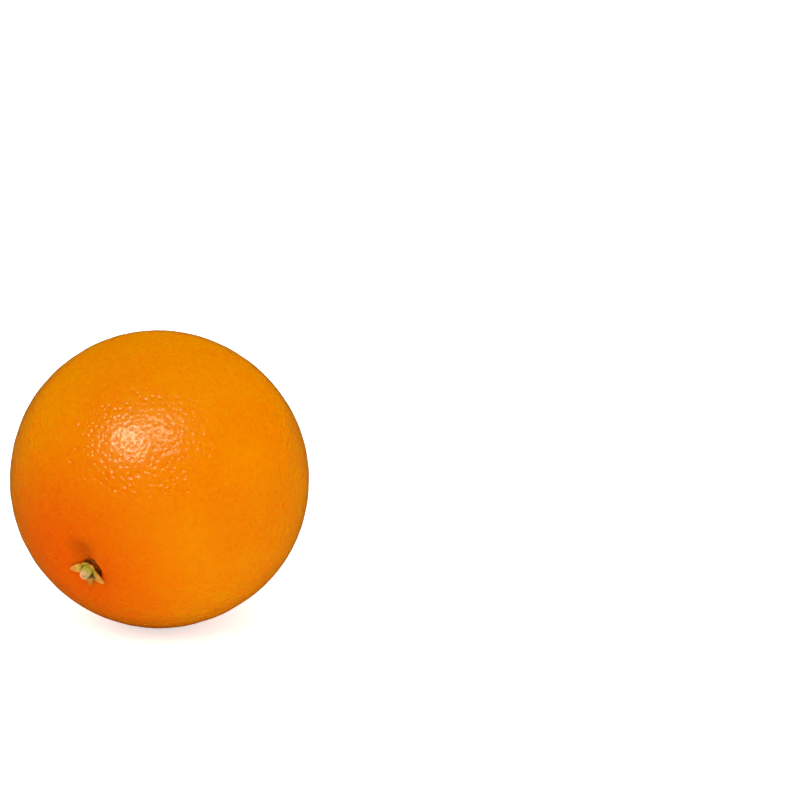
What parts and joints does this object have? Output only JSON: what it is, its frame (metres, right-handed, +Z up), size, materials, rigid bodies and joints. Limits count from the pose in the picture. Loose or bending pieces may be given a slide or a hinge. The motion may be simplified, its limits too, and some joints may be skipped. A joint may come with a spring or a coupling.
{
  "type": "orange",
  "caption": "Whole round orange with pebbled peel, a dried star-shaped calyx and a short cut stem, resting on a small flat spot.",
  "frame": {"origin": "on the surface that the fruit rests on, at the middle of its flat spot", "axes": "+Z up, out of the surface it rests on; the stem end points down, to -Y and to -X"},
  "size_m": [0.0796, 0.0792, 0.0793],
  "materials": {
    "peel": "satin",
    "calyx": "matte",
    "stem": "matte"
  },
  "bodies": {
    "root": {"fruit": "peel", "calyx": "calyx", "stem": "stem"}
  },
  "joints": []
}
